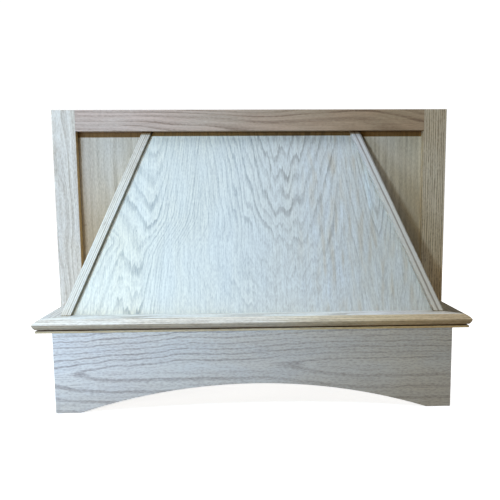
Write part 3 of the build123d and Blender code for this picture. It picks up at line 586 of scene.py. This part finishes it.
# battens
for side, sx in (("left", -1), ("right", 1)):
    along = Vector((-sx * 0.1308, 0.3333 * math.tan(LEAN), 0.3333)).normalized()
    out = Vector(SL_OUT)
    across = out.cross(along)
    middle = Vector((sx * 0.275, Y_IN - 0.16665 * math.tan(LEAN), 0.33945)) + out * 0.0095
    # painted shade at the batten's ends: a dark line at the foot, and the rail's shadow across its top
    foot = lambda t: [(t.ramp(t.z, 173.6, 174.8, 1.0, 0.0), (0.45, 0.40, 0.32)),
                      (t.ramp(t.z, 499.0, 500.6), (0.46, 0.36, 0.24)), (t.ramp(t.z, 501.5, 503.0), (0.45, 0.36, 0.25))]
    # the left batten's side faces are painted dark, as its inner side lies in shade
    give(side + "_batten", wood("oak_%s_batten" % side, middle, along, across, -out, TONE[side + "_batten"],
         straight(3.3 if sx < 0 else 7.0, 0.003, (1.0, 0.3)), seed=9.0 + sx * 0.7,
         ring_k=1.15 if sx < 0 else 1.7, streak_k=1.3, fleck_k=0.8, band_k=0.4, sharp=(0.18, 0.55),
         sides=(0.40, 0.37, 0.30) if sx < 0 else (1.0, 0.98, 0.95), stain_and_shade=foot,
         light_and_shade_fades=[(2, 180, 270, (0.94, 0.93, 0.92), (1.0, 1.0, 1.0)),
                (2, 320, 500, (1.01, 1.03, 1.04), (0.90, 0.90, 0.92))] if sx < 0 else
               [(2, 180, 500, (0.86, 0.81, 0.76), (0.93, 0.94, 0.97)), (2, 380, 500, (1.0, 1.0, 1.0), (0.92, 0.91, 0.95))]))

# cabinet box
PLAIN = dict(solid=False, ply=(12.7, 7), ring_k=0.32, streak_k=0.45, fleck_k=0.45, band_k=0.45)
for side, sx in (("left", -1), ("right", 1)):
    give(side + "_side_panel", wood("oak_%s_side" % side, (sx * 0.381, 0.1, 0.27), Z, Y, (-sx, 0, 0),
         (0.62, 0.56, 0.44), straight(13.0, 0.01), seed=11.0 + sx, **PLAIN))
    along = Vector((-sx * 0.39244, 0, 1)).normalized()
    outward = Vector((sx, 0, 0.39244)).normalized()
    give(side + "_cheek", wood("oak_%s_cheek" % side, (sx * 0.3405, -0.1, 0.1728), along, Y, -outward,
         (0.62, 0.57, 0.45), straight(11.0), seed=13.0 + sx, **PLAIN))
give("top_panel", wood("oak_top_panel", (0.0, 0.1, TOP), X, Y, nZ, (0.60, 0.54, 0.42), straight(16.0),
     seed=15.0, **PLAIN))

# inner strips and rails, beech and steel
for i, (node, along) in enumerate({
    "upper_hanging_rail": X, "lower_hanging_rail": X, "left_liner_ledger": Y, "right_liner_ledger": Y,
    "left_infill_cleat": Z, "right_infill_cleat": Z, "left_corner_block": Z, "right_corner_block": Z,
    "front_base_cleat": X, "left_base_cleat": Y, "right_base_cleat": Y, "canopy_top_cleat": X,
    "panel_foot_cleat": X, "left_cheek_cleat": Y, "right_cheek_cleat": Y,
}.items()):
    lo, hi = box(node)
    mid = (lo + hi) / 2
    along = Vector(along)
    across = Vector(Z) if abs(along.z) < 0.5 else Vector(X)
    give(node, softwood("pine_" + node, mid, along, across, along.cross(across), seed=1.0 + i * 0.37, box=(lo, hi)))
give("frame_dowels", beech("beech_dowels", X, 0.3))
give("cap_biscuits", beech("beech_biscuits", (0.7, 0.7, 0), 1.9))
steel = zinc("zinc_plate")
for node in ("batten_brads", "return_screws", "ledger_screws", "cap_screws"):
    give(node, steel)


# ---------------------------------------------------------------- studio
def only_camera(ob):
    for ray in ("diffuse", "glossy", "transmission", "volume_scatter", "shadow"):
        setattr(ob, "visible_" + ray, False)


def emitter(name, base, emission, far=None):
    """A pale surface that glows; far makes the glow reach 1 away from the cover."""
    m = bpy.data.materials.new(name)
    m.use_nodes = True
    nt = m.node_tree
    b = nt.nodes["Principled BSDF"]
    b.inputs["Base Color"].default_value = (base, base, base, 1)
    b.inputs["Roughness"].default_value = 0.9
    b.inputs["Specular IOR Level"].default_value = 0.0
    b.inputs["Emission Color"].default_value = (1, 1, 1, 1)
    b.inputs["Emission Strength"].default_value = emission
    if far:
        co = nt.nodes.new("ShaderNodeTexCoord")
        reach = nt.nodes.new("ShaderNodeVectorMath")
        reach.operation = "LENGTH"
        nt.links.new(co.outputs["Object"], reach.inputs[0])
        ramp = nt.nodes.new("ShaderNodeMapRange")
        ramp.interpolation_type = "SMOOTHSTEP"
        for key, v in zip(("From Min", "From Max", "To Min", "To Max"), (*far, emission, 1.06)):
            ramp.inputs[key].default_value = v
        nt.links.new(reach.outputs["Value"], ramp.inputs["Value"])
        nt.links.new(ramp.outputs[0], b.inputs["Emission Strength"])
        # clear from below, so that the underside can be looked at
        clear, pick = nt.nodes.new("ShaderNodeBsdfTransparent"), nt.nodes.new("ShaderNodeMixShader")
        nt.links.new(nt.nodes.new("ShaderNodeNewGeometry").outputs["Backfacing"], pick.inputs[0])
        nt.links.new(b.outputs[0], pick.inputs[1])
        nt.links.new(clear.outputs[0], pick.inputs[2])
        nt.links.new(pick.outputs[0], nt.nodes["Material Output"].inputs["Surface"])
    return m


def make_floor():
    me = bpy.data.meshes.new("floor")
    r, z = 9.0, -0.0004
    me.from_pydata([(-r, -r, z), (r, -r, z), (r, r, z), (-r, r, z)], [], [(0, 1, 2, 3)])
    ob = bpy.data.objects.new("floor", me)
    scene.collection.objects.link(ob)
    me.materials.append(emitter("pale_floor", 0.8, 0.80, (0.9, 2.2)))
    only_camera(ob)


def make_backdrop():
    """A plain white dome that only the camera sees."""
    bpy.ops.mesh.primitive_uv_sphere_add(segments=48, ring_count=24, radius=11.0)
    ob = bpy.context.object
    ob.name = "backdrop"
    ob.data.materials.append(emitter("white_backdrop", 0.0, 1.06))
    only_camera(ob)


def area(name, at, size, watts, colour, towards=(0, -0.1, 0.3)):
    lamp = bpy.data.lights.new(name, "AREA")
    lamp.shape = "SQUARE"
    lamp.size = size
    lamp.energy = watts
    lamp.color = colour
    ob = bpy.data.objects.new(name, lamp)
    scene.collection.objects.link(ob)
    ob.location = at
    ob.rotation_euler = (Vector(towards) - Vector(at)).to_track_quat("-Z", "Y").to_euler()
    return ob


def link(lamp, names, state):
    """EXCLUDE: the lamp doesn't reach these nodes, as if cards stood before them. INCLUDE: only these."""
    group = bpy.data.collections.new(lamp.name + "_receivers")
    for name in names:
        group.objects.link(nodes[name])
    lamp.light_linking.receiver_collection = group
    for member in group.collection_objects:
        member.light_linking.link_state = state


make_floor()
make_backdrop()
G = 1.25
key = area("key", (-0.56, -0.98, 0.96), 0.09, 4.71 * G, (0.624, 0.815, 1.0))
link(key, ("arched_valance", "right_cap_return"), "EXCLUDE")
overhead = area("overhead", (0.15, -0.3, 1.8), 1.2, 10.38 * G, (0.873, 0.910, 1.0))
link(overhead, ("right_cap_return",), "EXCLUDE")
low = area("low_left", (-0.6, -0.9, 0.15), 0.3, 2.49 * G, (0.675, 0.771, 1.0))
link(low, ("right_cap_return",), "EXCLUDE")
front = area("front_left", (-0.6, -1.7, 0.5), 0.5, 4.11 * G, (1.0, 0.774, 0.394))
link(front, ("right_cap_return",), "EXCLUDE")
area("floor_left", (-0.6, -0.7, -0.05), 0.3, 1.41 * G, (0.383, 0.681, 1.0))
over = area("over_the_cap", (-0.55, 0.10, 1.10), 0.25, 3.2, (0.75, 0.88, 1.0), (-0.2, -0.22, 0.17))
link(over, ("right_cap_return",), "EXCLUDE")
# behind the front faces: these only reach the sides, the back and the top
area("rear_left", (-1.6, 1.3, 1.0), 0.9, 14.0, (0.95, 0.97, 1.0), (0, 0.1, 0.3))
area("rear_right", (1.6, 1.3, 1.0), 0.9, 12.0, (1.0, 0.97, 0.93), (0, 0.1, 0.3))
for side, sx in (("left", -1), ("right", 1)):
    lamp = area("beside_" + side, (sx * 1.9, 0.55, -0.32), 0.9, 11.0, (1.0, 0.98, 0.95), (0, 0.0, 0.25))
    link(lamp, [side + n for n in ("_side_panel", "_stile", "_valance_return", "_cap_return", "_cheek")], "INCLUDE")

world = bpy.data.worlds.new("room")
scene.world = world
world.use_nodes = True
world.node_tree.nodes["Background"].inputs[0].default_value = (1.0, 0.95, 0.84, 1)
world.node_tree.nodes["Background"].inputs[1].default_value = 0.058

bpy.context.view_layer.update()
